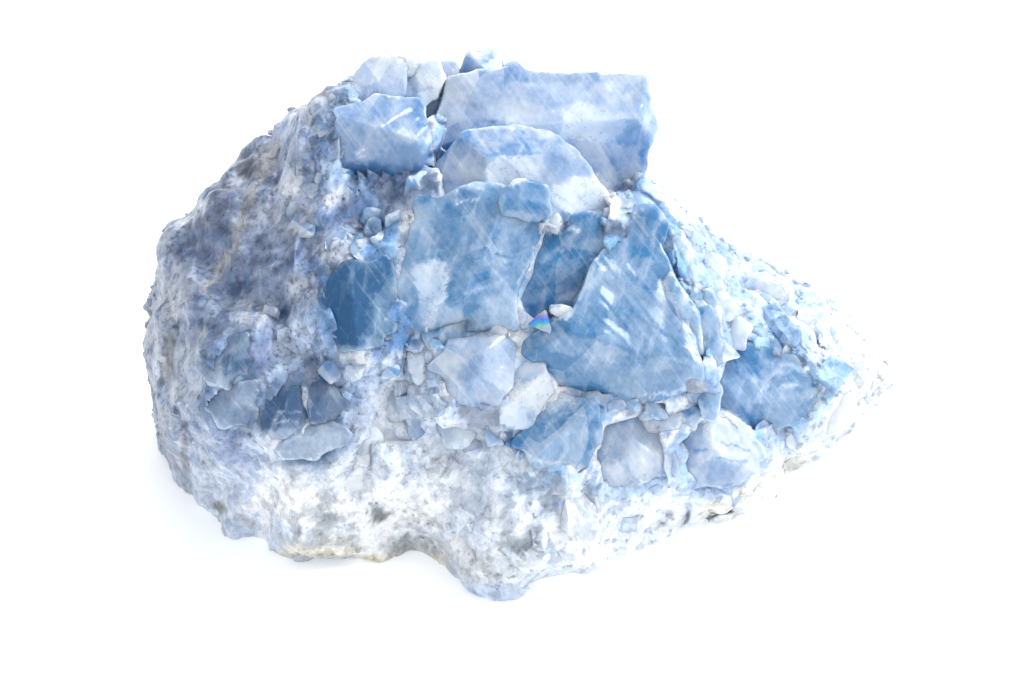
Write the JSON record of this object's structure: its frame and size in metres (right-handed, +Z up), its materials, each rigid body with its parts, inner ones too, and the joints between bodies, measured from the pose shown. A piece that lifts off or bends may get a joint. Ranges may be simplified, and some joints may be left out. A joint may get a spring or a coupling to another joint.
{
  "type": "celestite crystal cluster",
  "caption": "Cluster of blocky blue celestite crystals on a wedge of pale, granular geode rock, cut flat underneath so that it stands.",
  "frame": {"origin": "on the flat rest face, under the middle of the specimen", "axes": "+X along the specimen to its thin end, +Y to its back, +Z up"},
  "size_m": [0.0846, 0.0554, 0.0476],
  "materials": {
    "geode_rock": "rough",
    "blue_celestite": "glossy",
    "pale_celestite": "satin",
    "clear_celestite": "glossy",
    "deep_celestite": "glossy"
  },
  "bodies": {
    "root": {"matrix": "geode_rock", "main_crystals": "blue_celestite", "right_crystal": "blue_celestite", "outer_left_crystals": "blue_celestite", "back_crystals": "pale_celestite", "upper_left_crystals": "pale_celestite", "crown_crystal": "pale_celestite", "front_crystals": "clear_celestite", "deep_crystal": "deep_celestite", "left_crystals": "deep_celestite"}
  },
  "joints": []
}
